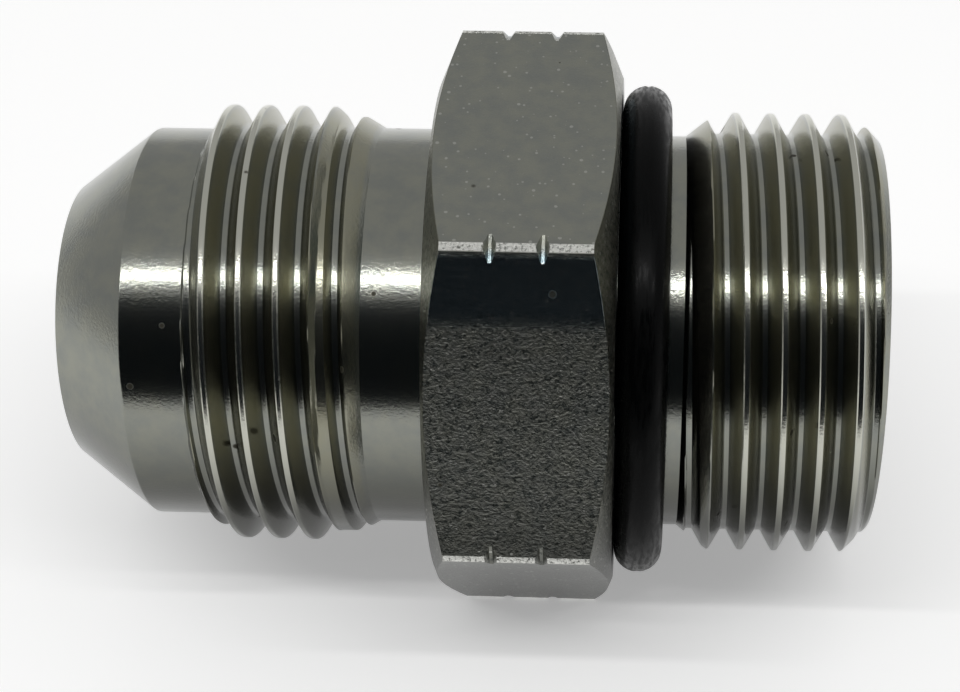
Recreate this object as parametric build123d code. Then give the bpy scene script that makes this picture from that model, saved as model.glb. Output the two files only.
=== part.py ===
from build123d import *
import math
import os

# Straight hydraulic adapter, 3/4 inch (dash 12) tube size, lying on one flat of its hexagon.
# One end is a 37 degree flare nose with a male thread, the other a straight thread stud whose
# O-ring seals on the shoulder of the hexagon. X is the axis, with the flare nose towards -X.
# The origin is on the axis in the plane of that sealing shoulder. All sizes are in millimetres.

# Thread, the same on both ends: 1 1/16 inch, 12 turns to the inch, right-hand, rolled
threads_per_inch = 12
thread_major_d = 26.95
crest_flat = 0.29
root_flat = 0.35
flank_angle = 30.0

# Flare end, lengths from the face of the nose towards the hexagon
flare_end_length = 21.95
seat_angle = 37.0
nose_face_d = 16.9
land_below_root = 0.22
flare_lead_at = 7.35
flare_lead_angle = 45.0
flare_full_thread_to = 15.40
flare_fade_length = 0.70
flare_neck_at = 18.50
flare_runout_angle = 30.0
flare_neck_below_root = 0.10
flare_thread_turn = -83.0

# Hexagon, made from drawn bar, with two turned rings that only nick its corners
hex_across_flats = 31.75
hex_width = 11.10
hex_corner_round = 0.40
hex_chamfer_angle = 30.0
hex_face_inside_flats = 0.22
nick_spacing = 2.90
nick_depth = 0.50
nick_half_angle = 45.0

# Stud end, lengths from the sealing shoulder
stud_length = 15.45
stud_neck_below_root = 0.20
stud_neck_to = 3.85
stud_runout_angle = 38.0
stud_lead_angle = 45.0
stud_face_below_root = 0.20
stud_edge_round = 0.40
stud_thread_turn = 81.5

# Through bore
bore_d = 15.50
nose_bore_chamfer = 0.30
stud_bore_chamfer = 0.60

# O-ring, stretched over the neck and lying against the shoulder
oring_section_d = 2.95
oring_clearance = 0.04

# Room by which cutting tools pass beyond the surfaces that they cut
tool_overrun = 0.10

pitch = 25.4 / threads_per_inch
major_r = thread_major_d / 2
thread_depth = (pitch - crest_flat - root_flat) / 2 / math.tan(math.radians(flank_angle))
root_r = major_r - thread_depth
stud_neck_r = root_r - stud_neck_below_root
nose_x = -(hex_width + flare_end_length)
hex_start_x = -hex_width
hex_middle_x = -hex_width / 2
hex_corner_r = hex_across_flats / 2 / math.cos(math.radians(30))


def run(rise, angle):
    """Length along the axis over which a cone of this half angle gains this radius."""
    return rise / math.tan(math.radians(angle))


def turned_solid(outline):
    """Solid of revolution about X of a closed outline of (x, radius) points."""
    face = make_face(Polyline(*[(x, r, 0) for x, r in outline], close=True))
    return revolve(face, Axis.X, 360)


def flare_outline():
    """Nose, 37 degree seat, land, rolled thread blank and neck, up to the hexagon.

    Where the thread fades, the rod keeps the radius that it had before rolling, halfway
    between crest and root.
    """
    land_r = root_r - land_below_root
    blank_r = major_r - thread_depth / 2
    neck_r = root_r - flare_neck_below_root
    seat_end = nose_x + run(land_r - nose_face_d / 2, seat_angle)
    lead = nose_x + flare_lead_at
    full_end = nose_x + flare_full_thread_to
    neck = nose_x + flare_neck_at
    return [
        (nose_x, 0),
        (nose_x, nose_face_d / 2),
        (seat_end, land_r),
        (lead, land_r),
        (lead + run(major_r - land_r, flare_lead_angle), major_r),
        (full_end, major_r),
        (full_end + flare_fade_length, blank_r),
        (neck - run(blank_r - neck_r, flare_runout_angle), blank_r),
        (neck, neck_r),
        (hex_middle_x, neck_r),
        (hex_middle_x, 0),
    ]


def stud_outline():
    """Neck under the O-ring, thread blank and end chamfer, from inside the hexagon."""
    face_r = root_r - stud_face_below_root
    return [
        (hex_middle_x, 0),
        (hex_middle_x, stud_neck_r),
        (stud_neck_to, stud_neck_r),
        (stud_neck_to + run(major_r - stud_neck_r, stud_runout_angle), major_r),
        (stud_length - run(major_r - face_r, stud_lead_angle), major_r),
        (stud_length, face_r),
        (stud_length, 0),
    ]


def hexagon():
    """Hexagonal bar with a flat down, its ends turned to 30 degrees and its corners nicked."""
    section = Plane.YZ * RegularPolygon(hex_across_flats / 2, 6, major_radius=False)
    bar = Pos(hex_start_x, 0, 0) * extrude(section, hex_width, dir=(1, 0, 0))
    bar = fillet(bar.edges().filter_by(Axis.X), hex_corner_round)
    beyond = hex_corner_r + tool_overrun
    face_r = hex_across_flats / 2 - hex_face_inside_flats
    chamfer = (beyond - face_r) * math.tan(math.radians(hex_chamfer_angle))
    turned = turned_solid([
        (hex_start_x, 0),
        (hex_start_x, face_r),
        (hex_start_x + chamfer, beyond),
        (-chamfer, beyond),
        (0, face_r),
        (0, 0),
    ])
    bar = bar & turned
    nick_r = hex_corner_r - nick_depth
    half = (beyond - nick_r) * math.tan(math.radians(nick_half_angle))
    for side in (-1, 1):
        middle = hex_middle_x + side * nick_spacing / 2
        bar -= turned_solid([
            (middle - half, beyond),
            (middle, nick_r),
            (middle + half, beyond),
        ])
    return bar


def thread_groove(from_x, to_x, turn):
    """Right-hand groove with 60 degree flanks, as one solid for each turn, end to end.

    A turn is four helices joined by ruled faces. The groove's middle passes from_x at the
    angle turn, counted from +Y towards +Z, and runs on to to_x or past it.
    """
    top_r = major_r + tool_overrun
    half_top = root_flat / 2 + (top_r - root_r) * math.tan(math.radians(flank_angle))
    corners = [
        (-root_flat / 2, root_r),
        (root_flat / 2, root_r),
        (half_top, top_r),
        (-half_top, top_r),
    ]
    turns = []
    for i in range(math.ceil((to_x - from_x) / pitch)):
        middle = from_x + i * pitch
        helices = [
            Edge.make_helix(pitch, pitch, r, center=(middle + dx, 0, 0), normal=(1, 0, 0))
            for dx, r in corners
        ]
        pairs = list(zip(helices, helices[1:] + helices[:1]))
        faces = [Face.make_surface_from_curves(a, b) for a, b in pairs]
        for at in (0, 1):
            rim = [Edge.make_line(a.position_at(at), b.position_at(at)) for a, b in pairs]
            faces.append(Face(Wire(rim)))
        start = helices[0].position_at(0)
        start_angle = math.degrees(math.atan2(start.Z, start.Y))
        turns.append(Solid(Shell(faces)).rotate(Axis.X, turn - start_angle))
    return turns


def adapter_body():
    """The one-piece steel body: turned ends, hexagon, rolled threads and through bore."""
    flare = turned_solid(flare_outline())
    stud = turned_solid(stud_outline())
    rim = stud.edges().filter_by(GeomType.CIRCLE).group_by(Axis.X)[-1]
    stud = fillet(rim, stud_edge_round)
    flare -= thread_groove(
        nose_x + flare_lead_at - pitch, nose_x + flare_neck_at + pitch / 2, flare_thread_turn
    )
    stud -= thread_groove(stud_neck_to - pitch, stud_length + pitch / 2, stud_thread_turn)
    bore_r = bore_d / 2
    bore = turned_solid([
        (nose_x - tool_overrun, 0),
        (nose_x - tool_overrun, bore_r + nose_bore_chamfer + tool_overrun),
        (nose_x + nose_bore_chamfer, bore_r),
        (stud_length - stud_bore_chamfer, bore_r),
        (stud_length + tool_overrun, bore_r + stud_bore_chamfer + tool_overrun),
        (stud_length + tool_overrun, 0),
    ])
    return flare + hexagon() + stud - bore


def o_ring():
    """Round-section ring on the stud's neck, against the shoulder of the hexagon."""
    section_r = oring_section_d / 2
    middle_r = stud_neck_r + oring_clearance + section_r
    middle_x = oring_clearance + section_r
    return Pos(middle_x, 0, 0) * Rot(0, 90, 0) * Torus(middle_r, section_r)


os.makedirs("parts", exist_ok=True)
for name, solid in {"adapter_body": adapter_body(), "o_ring": o_ring()}.items():
    export_step(solid, f"parts/{name}.step")
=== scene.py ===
import bpy
import bmesh
import math
from mathutils import Matrix, Vector


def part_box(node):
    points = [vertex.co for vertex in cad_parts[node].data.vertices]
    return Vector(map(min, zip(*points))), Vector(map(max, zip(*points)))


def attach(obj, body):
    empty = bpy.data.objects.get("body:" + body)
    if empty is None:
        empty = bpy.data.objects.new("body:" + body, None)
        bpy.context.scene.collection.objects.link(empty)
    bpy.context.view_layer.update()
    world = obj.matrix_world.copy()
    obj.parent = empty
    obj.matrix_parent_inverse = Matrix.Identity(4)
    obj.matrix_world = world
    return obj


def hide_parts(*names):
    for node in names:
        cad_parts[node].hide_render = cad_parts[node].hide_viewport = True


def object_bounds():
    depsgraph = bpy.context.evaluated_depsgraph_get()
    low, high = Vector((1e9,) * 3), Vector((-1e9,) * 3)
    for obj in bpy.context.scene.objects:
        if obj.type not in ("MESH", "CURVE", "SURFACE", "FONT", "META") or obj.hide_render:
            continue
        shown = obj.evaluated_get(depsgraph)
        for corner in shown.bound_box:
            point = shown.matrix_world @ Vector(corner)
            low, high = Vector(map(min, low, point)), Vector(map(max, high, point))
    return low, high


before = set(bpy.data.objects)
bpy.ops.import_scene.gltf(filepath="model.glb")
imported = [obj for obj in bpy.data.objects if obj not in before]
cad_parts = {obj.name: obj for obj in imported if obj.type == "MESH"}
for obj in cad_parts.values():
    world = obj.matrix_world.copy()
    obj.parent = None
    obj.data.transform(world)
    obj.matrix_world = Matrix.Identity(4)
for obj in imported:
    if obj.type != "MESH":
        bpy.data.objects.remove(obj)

cad_low, cad_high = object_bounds()

# Adapter body. The real one is turned from hexagon steel bar in one piece, its two threads are
# rolled, and the whole is zinc-nickel plated. It is built here in millimetres, from the flare
# nose to the stud's end, as turned stretches, rolled threads and the hexagon, joined ring to ring.
mm = 0.001
body_low, body_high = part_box("adapter_body")
nose_x = body_low.x / mm
stud_end_x = body_high.x / mm
across_flats = (body_high.z - body_low.z) / mm
hex_start_x = -10.75

pitch = 25.4 / 12
major_r = 13.475
flank = math.tan(math.radians(30))
crest_flat = 0.29
root_flat = 0.35
thread_depth = (pitch - crest_flat - root_flat) / 2 / flank
root_r = major_r - thread_depth
blank_r = major_r - thread_depth / 2

land_r = root_r - 0.22
flare_neck_r = root_r - 0.02
stud_neck_r = root_r - 0.20
stud_neck_end_x = 3.85
nose_face_r = 8.45
bore_r = 7.75
nose_bore_chamfer = 0.30
stud_bore_chamfer = 0.60
turned_edge_round = 0.08
cone_slope = math.tan(math.radians(23))
columns = 160
sharp_from = math.radians(20)


def turned(bm, outline, rounded=0.0):
    """A stretch of the body turned about X from (x, radius) points, its inner corners rounded."""
    points = [bm.verts.new((x, r, 0)) for x, r in outline]
    line = [bm.edges.new(pair) for pair in zip(points, points[1:])]
    if rounded:
        made = bmesh.ops.bevel(
            bm, geom=points[1:-1], offset=rounded, offset_type="OFFSET", affect="VERTICES",
            segments=4, profile=0.5, material=-1, clamp_overlap=True,
        )
        ends = made["verts"] + [points[0], points[-1]]
        line = list({e for v in ends if v.is_valid for e in v.link_edges})
    bmesh.ops.spin(
        bm, geom=line, cent=(0, 0, 0), axis=(1, 0, 0), angle=math.tau, steps=columns,
        use_merge=True, dvec=(0, 0, 0),
    )


def smooth_least(a, b, width):
    """The lesser of two radii, with the corner where they cross rounded over."""
    mix = max(width - abs(a - b), 0) / width
    return min(a, b) - mix * mix * width / 4


def outline_radius(outline, x):
    """Radius at x of a turned outline."""
    for (x0, r0), (x1, r1) in zip(outline, outline[1:]):
        if x <= x1:
            return r0 + (r1 - r0) * max(x - x0, 0) / (x1 - x0)
    return outline[-1][1]


def rolled_thread(bm, outline, groove_x, groove_turn, rows=32):
    """Right-hand thread rolled into a turned stretch, with rounded crests and roots.

    A straight line of points is spun with one pitch of drift, so that its rows follow the
    helix, and each point then drops to the thread's or the rod's own radius. Past the ends of
    the stretch the rows close up into a plain ring.
    """
    rolled_round = 0.10
    from_x, to_x = outline[0][0], outline[-1][0]
    step = pitch / rows
    count = math.ceil((to_x - from_x) / step) + rows
    line = [bm.verts.new((from_x + (i - rows) * step, major_r, 0)) for i in range(count + 1)]
    edges = [bm.edges.new(pair) for pair in zip(line, line[1:])]
    before = set(bm.verts) - set(line)
    bmesh.ops.spin(
        bm, geom=edges + line, cent=(0, 0, 0), axis=(1, 0, 0), angle=math.tau, steps=columns,
        use_merge=False, dvec=(pitch / columns, 0, 0),
    )
    for v in bm.verts:
        if v in before:
            continue
        turn = math.atan2(v.co.z, v.co.y)
        x = min(max(v.co.x, from_x), to_x)
        along = x - groove_x - pitch * (turn - math.radians(groove_turn)) / math.tau
        off = abs((along / pitch + 0.5) % 1 - 0.5) * pitch
        groove_r = -smooth_least(-root_r, -(root_r + (off - root_flat / 2) / flank), rolled_round)
        thread_r = smooth_least(groove_r, major_r, rolled_round)
        r = smooth_least(thread_r, outline_radius(outline, x), rolled_round / 2)
        v.co = (x, r * math.cos(turn), r * math.sin(turn))


def hexagon_head():
    """The hexagon of the bar, its ends turned to a low cone and two rings cut into its corners."""
    corner_round = 0.40
    corner_r = across_flats / 2 / math.cos(math.radians(30))
    face_r = across_flats / 2 - 0.47
    bm = bmesh.new()
    bmesh.ops.create_circle(bm, cap_ends=True, segments=6, radius=corner_r)
    corners = list(bm.verts)
    bmesh.ops.bevel(
        bm, geom=corners, offset=corner_round * flank, offset_type="OFFSET", affect="VERTICES", segments=6,
        profile=0.5, material=-1,
    )
    across = Matrix.Rotation(math.radians(90), 3, "Y")
    bmesh.ops.rotate(bm, verts=bm.verts, cent=(0, 0, 0), matrix=across)
    low = min(v.co.z for v in bm.verts)
    if abs(low + across_flats / 2) > 0.01:
        flat_down = Matrix.Rotation(math.radians(30), 3, "X")
        bmesh.ops.rotate(bm, verts=bm.verts, cent=(0, 0, 0), matrix=flat_down)
    bmesh.ops.translate(bm, verts=bm.verts, vec=(hex_start_x, 0, 0))
    prism = bmesh.ops.extrude_face_region(bm, geom=list(bm.faces))
    moved = [v for v in prism["geom"] if isinstance(v, bmesh.types.BMVert)]
    bmesh.ops.translate(bm, verts=moved, vec=(-hex_start_x, 0, 0))
    bmesh.ops.recalc_face_normals(bm, faces=bm.faces)
    bar = bpy.data.meshes.new("hexagon_bar")
    bm.to_mesh(bar)
    bm.free()

    beyond = corner_r + 0.10
    chamfer = (beyond - face_r) * cone_slope
    nick_r = corner_r - 0.45
    half_flat = 0.09
    half_top = half_flat + (beyond - nick_r) * math.tan(math.radians(38))
    half_spacing = 1.44
    middle = hex_start_x / 2
    outline = [(hex_start_x, 0), (hex_start_x, face_r), (hex_start_x + chamfer, beyond)]
    for nick_x in (middle - half_spacing, middle + half_spacing):
        outline += [(nick_x - half_top, beyond), (nick_x - half_flat, nick_r)]
        outline += [(nick_x + half_flat, nick_r), (nick_x + half_top, beyond)]
    outline += [(-chamfer, beyond), (0, face_r), (0, 0)]
    bm = bmesh.new()
    points = [bm.verts.new((x, r, 0)) for x, r in outline]
    line = [bm.edges.new(pair) for pair in zip(points, points[1:])]
    bmesh.ops.spin(
        bm, geom=line, cent=(0, 0, 0), axis=(1, 0, 0), angle=math.tau, steps=2 * columns,
        use_merge=True, dvec=(0, 0, 0),
    )
    bmesh.ops.remove_doubles(bm, verts=bm.verts, dist=0.0001)
    bmesh.ops.recalc_face_normals(bm, faces=bm.faces)
    lathe = bpy.data.meshes.new("hexagon_turning")
    bm.to_mesh(lathe)
    bm.free()

    head = bpy.data.objects.new("hexagon_head", bar)
    cutter = bpy.data.objects.new("hexagon_turning", lathe)
    for obj in (head, cutter):
        bpy.context.scene.collection.objects.link(obj)
    cut = head.modifiers.new("turning", "BOOLEAN")
    cut.operation = "INTERSECT"
    cut.solver = "EXACT"
    cut.object = cutter
    bpy.context.view_layer.update()
    seen = head.evaluated_get(bpy.context.evaluated_depsgraph_get())
    result = bpy.data.meshes.new_from_object(seen)
    for obj in (head, cutter):
        bpy.data.objects.remove(obj)
    return result, face_r


def closed_shoulder(bm, x, r, other_r):
    """Closes a shoulder with flat faces between two open rings that lie in the plane at x."""
    rims = []
    for radius in (r, other_r):
        rims += [
            e for e in bm.edges
            if e.is_boundary and all(
                abs(v.co.x - x) < 0.002 and abs(math.hypot(v.co.y, v.co.z) - radius) < 0.02
                for v in e.verts
            )
        ]
    bmesh.ops.triangle_fill(
        bm, use_beauty=True, use_dissolve=False, edges=rims, normal=(1, 0, 0),
    )


bm = bmesh.new()
seat_end_x = nose_x + (land_r - nose_face_r) / math.tan(math.radians(37))
lead_x = nose_x + 7.35
fade_x = nose_x + 15.40
neck_x = nose_x + 18.50
stud_face_x = stud_end_x - (major_r - stud_neck_r)
turned(bm, [
    (stud_end_x, bore_r + stud_bore_chamfer),
    (stud_end_x - stud_bore_chamfer, bore_r),
    (nose_x + nose_bore_chamfer, bore_r),
    (nose_x, bore_r + nose_bore_chamfer),
    (nose_x, nose_face_r),
    (seat_end_x, land_r),
    (lead_x, land_r),
], turned_edge_round)
rolled_thread(bm, [
    (lead_x, land_r),
    (lead_x + 0.90, land_r),
    (lead_x + 1.75, major_r),
    (fade_x, major_r),
    (fade_x + 0.70, blank_r),
    (neck_x - (blank_r - flare_neck_r) / flank, blank_r),
    (neck_x, flare_neck_r),
], lead_x - pitch, -83.0)
turned(bm, [(neck_x, flare_neck_r), (hex_start_x, flare_neck_r)])
turned(bm, [(0, stud_neck_r), (stud_neck_end_x, stud_neck_r)])
rolled_thread(bm, [
    (stud_neck_end_x, stud_neck_r),
    (stud_neck_end_x + (major_r - stud_neck_r) / math.tan(math.radians(38)), major_r),
    (stud_face_x, major_r),
    (stud_end_x, stud_neck_r),
], stud_neck_end_x - pitch, 81.5)
turned(bm, [(stud_end_x, stud_neck_r), (stud_end_x, bore_r + stud_bore_chamfer)])
bmesh.ops.remove_doubles(bm, verts=bm.verts, dist=0.001)

head_mesh, hex_face_r = hexagon_head()
bm.from_mesh(head_mesh)
bpy.data.meshes.remove(head_mesh)
caps = [
    f for f in bm.faces
    if any(all(abs(v.co.x - x) < 0.001 for v in f.verts) for x in (hex_start_x, 0))
]
bmesh.ops.delete(bm, geom=caps, context="FACES")
closed_shoulder(bm, hex_start_x, flare_neck_r, hex_face_r)
closed_shoulder(bm, 0, stud_neck_r, hex_face_r)
bmesh.ops.recalc_face_normals(bm, faces=bm.faces)
for f in bm.faces:
    f.smooth = True
for e in bm.edges:
    if e.is_manifold and e.calc_face_angle() > sharp_from:
        e.smooth = False
bmesh.ops.scale(bm, verts=bm.verts, vec=(mm, mm, mm))
body_mesh = bpy.data.meshes.new("fitting_body")
bm.to_mesh(body_mesh)
bm.free()
fitting_body = bpy.data.objects.new("fitting_body", body_mesh)
bpy.context.scene.collection.objects.link(fitting_body)


def add_node(tree, kind, settings=None, numbered=(), **named):
    """A shader node with its settings, its inputs set or linked by number and by name."""
    node = tree.nodes.new(kind)
    for name, value in (settings or {}).items():
        setattr(node, name, value)
    inputs = [(node.inputs[index], value) for index, value in enumerate(numbered)]
    inputs += [(node.inputs[name.replace("_", " ")], value) for name, value in named.items()]
    for socket, value in inputs:
        if isinstance(value, bpy.types.NodeSocket):
            tree.links.new(value, socket)
        else:
            socket.default_value = value
    return node


def maths(tree, operation, *values, use_clamp=False):
    """Output of a math node on its values."""
    settings = {"operation": operation, "use_clamp": use_clamp}
    return add_node(tree, "ShaderNodeMath", settings, values).outputs[0]


def product(tree, first, *others):
    """Output of a chain of multiplications."""
    for other in others:
        first = maths(tree, "MULTIPLY", first, other)
    return first


def smooth_step(tree, value, start, end, to_start=0.0, to_end=1.0):
    """Output of a clamped, smoothly stepped change of range."""
    return add_node(
        tree, "ShaderNodeMapRange", {"interpolation_type": "SMOOTHSTEP"},
        Value=value, From_Min=start, From_Max=end, To_Min=to_start, To_Max=to_end,
    ).outputs["Result"]


def noise(tree, vector, scale, detail, roughness=0.5):
    """Grey output of a noise texture, with its scale in features to the millimetre."""
    return add_node(
        tree, "ShaderNodeTexNoise", Vector=vector, Scale=scale, Detail=detail, Roughness=roughness,
    ).outputs[0]


def mixed(tree, factor, colour, other):
    """Colour output of a mix of two colours."""
    mix = add_node(tree, "ShaderNodeMix", {"data_type": "RGBA"})
    for index, value in ((0, factor), (6, colour), (7, other)):
        if isinstance(value, bpy.types.NodeSocket):
            tree.links.new(value, mix.inputs[index])
        else:
            mix.inputs[index].default_value = value
    return mix.outputs[2]


# Where a point lies on the body, as masks that the steel's material reads
places = bpy.data.node_groups.new("places_on_body", "ShaderNodeTree")
coordinates = add_node(places, "ShaderNodeTexCoord").outputs["Object"]
millimetres = add_node(
    places, "ShaderNodeVectorMath", {"operation": "SCALE"}, [coordinates], Scale=1 / mm,
).outputs["Vector"]
along, across, height = add_node(places, "ShaderNodeSeparateXYZ", None, [millimetres]).outputs
squares = [maths(places, "POWER", value, 2.0) for value in (across, height)]
radius = maths(places, "SQRT", maths(places, "ADD", *squares))
on_flare = product(
    places,
    smooth_step(places, along, lead_x - 0.1, lead_x + 0.1),
    smooth_step(places, along, neck_x - 0.3, neck_x, 1.0, 0.0),
)
on_stud = smooth_step(places, along, stud_neck_end_x - 0.05, stud_neck_end_x + 0.25)
on_thread = product(
    places,
    maths(places, "ADD", on_flare, on_stud),
    smooth_step(places, radius, land_r - 0.6, land_r - 0.1),
)
on_hexagon = product(
    places,
    smooth_step(places, along, hex_start_x - 0.02, hex_start_x),
    smooth_step(places, along, 0.0, 0.02, 1.0, 0.0),
    smooth_step(places, radius, 12.6, 12.7),
)
on_corner = product(places, on_hexagon, smooth_step(places, radius, 18.17, 18.21))
cone_reach = product(places, maths(places, "SUBTRACT", radius, hex_face_r), cone_slope)
from_start = maths(places, "SUBTRACT", along, hex_start_x)
from_end = product(places, along, -1.0)
inside_cone = maths(places, "SUBTRACT", maths(places, "MINIMUM", from_start, from_end), cone_reach)
on_cone = product(places, on_hexagon, smooth_step(places, inside_cone, 0.01, 0.05, 1.0, 0.0))
given_out = {
    "X": along, "Height": height, "Radius": radius, "Thread": on_thread, "Hexagon": on_hexagon,
    "Corner": on_corner, "Cone": on_cone,
}
for name in given_out:
    places.interface.new_socket(name, in_out="OUTPUT", socket_type="NodeSocketFloat")
places.interface.new_socket("Millimetres", in_out="OUTPUT", socket_type="NodeSocketVector")
group_output = places.nodes.new("NodeGroupOutput")
for name, value in given_out.items():
    places.links.new(value, group_output.inputs[name])
places.links.new(millimetres, group_output.inputs["Millimetres"])

# Small round specks, thinly strewn: the share of the cells that hold one, and its largest size
specks = bpy.data.node_groups.new("specks", "ShaderNodeTree")
specks.interface.new_socket("Millimetres", in_out="INPUT", socket_type="NodeSocketVector")
for name in ("Per Millimetre", "Size", "Share"):
    specks.interface.new_socket(name, in_out="INPUT", socket_type="NodeSocketFloat")
specks.interface.new_socket("Mask", in_out="OUTPUT", socket_type="NodeSocketFloat")
given = specks.nodes.new("NodeGroupInput").outputs
cells = add_node(
    specks, "ShaderNodeTexVoronoi", Vector=given["Millimetres"], Scale=given["Per Millimetre"],
).outputs
chance = add_node(specks, "ShaderNodeSeparateColor", None, [cells["Color"]]).outputs
chosen = maths(specks, "LESS_THAN", chance[0], given["Share"])
size = product(specks, given["Size"], maths(specks, "ADD", chance[1], 0.25))
spot = smooth_step(specks, maths(specks, "SUBTRACT", size, cells["Distance"]), 0.0, 0.05)
group_output = specks.nodes.new("NodeGroupOutput")
specks.links.new(product(specks, chosen, spot), group_output.inputs["Mask"])

# Plated steel: a grey metal with an olive film in the thread, bright worn crests and corners,
# a drawn grain on the hexagon's sides and painted shade in its colour that darkens the lower half
steel = bpy.data.materials.new("plated_steel")
steel.use_nodes = True
tree = steel.node_tree
shader = tree.nodes["Principled BSDF"]
place = add_node(tree, "ShaderNodeGroup", {"node_tree": places}).outputs
mottle = noise(tree, place["Millimetres"], 0.7, 5.0, 0.62)
grain = noise(tree, place["Millimetres"], 5.5, 3.0, 0.65)
drawn_marks = noise(tree, place["Millimetres"], 3.1, 4.0, 0.75)
tool_lines = add_node(
    tree, "ShaderNodeTexNoise", {"noise_dimensions": "1D"},
    W=place["X"], Scale=9.0, Detail=3.0, Roughness=0.7,
).outputs[0]
dirt, flecks = [
    add_node(
        tree, "ShaderNodeGroup", {"node_tree": specks},
        Millimetres=place["Millimetres"], Per_Millimetre=per_mm, Size=size, Share=share,
    ).outputs[0]
    for per_mm, size, share in ((0.5, 0.13, 0.30), (3.2, 0.30, 0.22))
]

depth = maths(tree, "DIVIDE", maths(tree, "SUBTRACT", major_r, place["Radius"]), thread_depth)
crest = product(tree, place["Thread"], smooth_step(tree, depth, 0.03, 0.10, 1.0, 0.0))
olive_film = product(
    tree,
    place["Thread"],
    smooth_step(tree, depth, 0.10, 0.24),
    smooth_step(tree, depth, 0.84, 0.97, 1.0, 0.0),
    smooth_step(tree, mottle, 0.25, 0.70, 0.55, 1.0),
)
below_edge = smooth_step(tree, place["Height"], 15.2, 15.6, 1.0, 0.0)
# A smoother, less grainy strip high on the hexagon's sloping sides, whose bluish dark colour is a painted
# reflection
smooth_strip_painted_reflection = maths(
    tree, "MULTIPLY",
    place["Hexagon"],
    product(
        tree,
        smooth_step(tree, place["Height"], 11.6, 12.8),
        maths(tree, "SUBTRACT", below_edge, place["Cone"]),
    ),
    use_clamp=True,
)
drawn_side = product(
    tree,
    place["Hexagon"],
    smooth_step(tree, place["Height"], 15.3, 15.75, 1.0, 0.0),
    maths(tree, "SUBTRACT", 1.0, product(tree, smooth_strip_painted_reflection, 0.55)),
)
pale_marks = product(tree, drawn_side, smooth_step(tree, drawn_marks, 0.50, 0.66, 0.0, 0.75))
dark_marks = product(tree, drawn_side, smooth_step(tree, drawn_marks, 0.38, 0.48, 0.75, 0.0))
# Painted shade: the steel's colour grows darker towards the bottom, dimming the bright table seen in its
# reflections
lower_painted_shade = smooth_step(tree, place["Height"], 6.0, -4.0, 0.0, 0.95)
worn = product(tree, place["Corner"], smooth_step(tree, grain, 0.34, 0.52))

colour = mixed(
    tree, smooth_step(tree, mottle, 0.3, 0.7), (0.245, 0.255, 0.235, 1), (0.285, 0.29, 0.25, 1),
)
for factor, other in (
    (olive_film, (0.30, 0.295, 0.225, 1)),
    (product(tree, place["Cone"], 0.75), (0.16, 0.16, 0.125, 1)),
    (product(tree, crest, 0.7), (0.66, 0.66, 0.58, 1)),
    # painted bluish dark reflection on that strip
    (product(tree, smooth_strip_painted_reflection, 0.8), (0.16, 0.22, 0.25, 1)),
    (pale_marks, (0.36, 0.36, 0.33, 1)),
    (dark_marks, (0.04, 0.05, 0.05, 1)),
    # painted shade towards the bottom
    (lower_painted_shade, (0.062, 0.063, 0.056, 1)),
    (worn, (0.80, 0.80, 0.76, 1)),
    (product(tree, flecks, place["Hexagon"], 0.45), (0.62, 0.62, 0.58, 1)),
    (product(tree, dirt, 0.85), (0.03, 0.025, 0.015, 1)),
):
    colour = mixed(tree, factor, colour, other)
tree.links.new(colour, shader.inputs["Base Color"])
shader.inputs["Metallic"].default_value = 1

roughness = 0.165
for factor, more in (
    (place["Hexagon"], 0.12), (olive_film, 0.06), (smooth_strip_painted_reflection, -0.05), (worn, 0.25), (dirt, 0.4),
):
    roughness = maths(tree, "ADD", roughness, product(tree, factor, more))
tree.links.new(roughness, shader.inputs["Roughness"])

turned_metal = maths(
    tree, "SUBTRACT", 1.0, maths(tree, "MAXIMUM", place["Hexagon"], place["Thread"]),
)
grain_side = maths(tree, "SUBTRACT", place["Hexagon"], product(tree, smooth_strip_painted_reflection, 0.8))
relief = maths(
    tree, "ADD",
    product(tree, tool_lines, turned_metal, 0.0016),
    product(tree, grain, smooth_step(tree, grain_side, 0.0, 1.0, 0.0085, 0.0400)),
)
relief = maths(tree, "ADD", relief, product(tree, grain, place["Corner"], 0.12))
bump = add_node(tree, "ShaderNodeBump", Strength=1.0, Distance=mm, Height=relief)
tree.links.new(bump.outputs["Normal"], shader.inputs["Normal"])
body_mesh.materials.append(steel)
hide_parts("adapter_body")
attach(fitting_body, "root")

# O-ring. The real one is moulded nitrile rubber with a fine parting line round its middle. It is
# stretched over the stud's neck and lies against the shoulder of the hexagon.
ring_low, ring_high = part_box("o_ring")
ring_section_r = (ring_high.x - ring_low.x) / 2 / mm
ring_middle_x = (ring_high.x + ring_low.x) / 2 / mm
ring_middle_r = ring_high.z / mm - ring_section_r
bm = bmesh.new()
section = bmesh.ops.create_circle(bm, segments=48, radius=ring_section_r)
parting_line_depth = 0.06
outermost = max(section["verts"], key=lambda v: v.co.y)
outermost.co.y -= parting_line_depth
bmesh.ops.translate(bm, verts=section["verts"], vec=(ring_middle_x, ring_middle_r, 0))
bmesh.ops.spin(
    bm, geom=bm.edges[:], cent=(0, 0, 0), axis=(1, 0, 0), angle=math.tau, steps=columns,
    use_merge=True, dvec=(0, 0, 0),
)
bmesh.ops.remove_doubles(bm, verts=bm.verts, dist=0.001)
bmesh.ops.recalc_face_normals(bm, faces=bm.faces)
for f in bm.faces:
    f.smooth = True
bmesh.ops.scale(bm, verts=bm.verts, vec=(mm, mm, mm))
ring_mesh = bpy.data.meshes.new("sealing_ring")
bm.to_mesh(ring_mesh)
bm.free()
sealing_ring = bpy.data.objects.new("sealing_ring", ring_mesh)
bpy.context.scene.collection.objects.link(sealing_ring)
rubber = bpy.data.materials.new("seal_rubber")
rubber.use_nodes = True
tree = rubber.node_tree
shader = tree.nodes["Principled BSDF"]
shader.inputs["Base Color"].default_value = (0.0012, 0.0014, 0.0015, 1)
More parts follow.
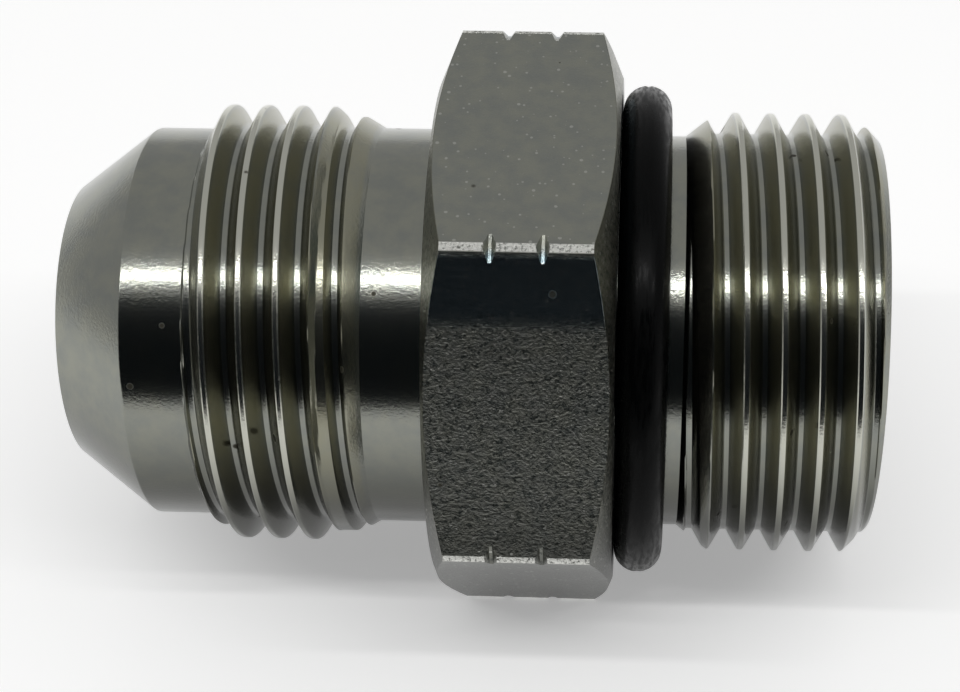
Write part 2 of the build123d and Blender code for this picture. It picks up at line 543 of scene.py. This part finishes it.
shader.inputs["Specular IOR Level"].default_value = 0.07
coordinates = add_node(tree, "ShaderNodeTexCoord").outputs["Object"]
drawn_out = add_node(
    tree, "ShaderNodeMapping", None, [coordinates], Scale=(4.0 / mm, 0.7 / mm, 0.7 / mm),
).outputs[0]
streaks = noise(tree, drawn_out, 1.2, 4.0)
tree.links.new(smooth_step(tree, streaks, 0.35, 0.65, 0.20, 0.42), shader.inputs["Roughness"])
ring_mesh.materials.append(rubber)
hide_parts("o_ring")
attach(sealing_ring, "root")

# Table. A plain pale sheet on which the fitting lies on one flat of its hexagon. It glows a little
# to the camera and in reflections, so that the background is near white without more light.
bm = bmesh.new()
bmesh.ops.create_grid(bm, x_segments=1, y_segments=1, size=3.0)
bmesh.ops.translate(bm, verts=bm.verts, vec=(0, 0, cad_low.z))
table_mesh = bpy.data.meshes.new("table_top")
bm.to_mesh(table_mesh)
bm.free()
table_top = bpy.data.objects.new("table_top", table_mesh)
bpy.context.scene.collection.objects.link(table_top)
paper = bpy.data.materials.new("pale_table")
paper.use_nodes = True
tree = paper.node_tree
shader = tree.nodes["Principled BSDF"]
shader.inputs["Base Color"].default_value = (0.95, 0.95, 0.945, 1)
shader.inputs["Roughness"].default_value = 0.9
ray = add_node(tree, "ShaderNodeLightPath").outputs
seen = maths(tree, "ADD", ray["Is Camera Ray"], ray["Is Glossy Ray"])
seen = maths(tree, "ADD", seen, ray["Is Transmission Ray"])
glow = product(tree, maths(tree, "MINIMUM", seen, 1.0), 0.34)
shader.inputs["Emission Color"].default_value = (1, 1, 1, 1)
tree.links.new(glow, shader.inputs["Emission Strength"])
table_mesh.materials.append(paper)

# Light. An even pale room, one long narrow softbox above and a little to the front, and a black
# card in front, unseen by the camera, which gives bright metal its dark stretch.
world = bpy.data.worlds.new("pale_room")
world.use_nodes = True
world.node_tree.nodes["Background"].inputs["Color"].default_value = (0.50, 0.50, 0.50, 1)
bpy.context.scene.world = world

softbox_angle = math.radians(17.8)
softbox_distance = 0.45
softbox = bpy.data.lights.new("softbox", "AREA")
softbox.shape = "RECTANGLE"
softbox.size = 0.9
softbox.size_y = 0.020
softbox.energy = 1.3
softbox_obj = bpy.data.objects.new("softbox", softbox)
softbox_obj.location = (
    0,
    -softbox_distance * math.sin(softbox_angle),
    softbox_distance * math.cos(softbox_angle),
)
softbox_obj.rotation_euler = (-softbox_angle, 0, 0)
bpy.context.scene.collection.objects.link(softbox_obj)

card_distance = 0.45
card_half_width = 0.6
card_low = math.radians(-1.8)
card_high = math.radians(62)
bm = bmesh.new()
for x in (-card_half_width, card_half_width):
    for angle in (card_low, card_high):
        bm.verts.new((x, -card_distance * math.cos(angle), card_distance * math.sin(angle)))
bmesh.ops.contextual_create(bm, geom=bm.verts[:])
card_mesh = bpy.data.meshes.new("black_card")
bm.to_mesh(card_mesh)
bm.free()
black_card = bpy.data.objects.new("black_card", card_mesh)
bpy.context.scene.collection.objects.link(black_card)
black = bpy.data.materials.new("black_card")
black.use_nodes = True
shader = black.node_tree.nodes["Principled BSDF"]
shader.inputs["Base Color"].default_value = (0.014, 0.017, 0.020, 1)
shader.inputs["Roughness"].default_value = 0.9
shader.inputs["Specular IOR Level"].default_value = 0.0
card_mesh.materials.append(black)
black_card.visible_camera = False

# Camera, close above the front of the fitting, as the photograph was taken.
camera = bpy.data.cameras.new("camera")
camera.sensor_width = 36
camera.lens = 76.218
camera.shift_x = -0.0833
camera.shift_y = 0.1604
camera.clip_start = 0.01
camera.clip_end = 20
camera_obj = bpy.data.objects.new("camera", camera)
camera_yaw, camera_pitch, camera_roll = 0.06044, 0.88944, -0.02282
camera_obj.matrix_world = (
    Matrix.Translation(Vector((1.442, -88.015, 91.819)) * mm)
    @ Matrix.Rotation(camera_yaw, 4, "Z")
    @ Matrix.Rotation(math.pi / 2 - camera_pitch, 4, "X")
    @ Matrix.Rotation(camera_roll, 4, "Z")
)
bpy.context.scene.collection.objects.link(camera_obj)
bpy.context.scene.camera = camera_obj
bpy.context.scene.view_settings.view_transform = "Standard"
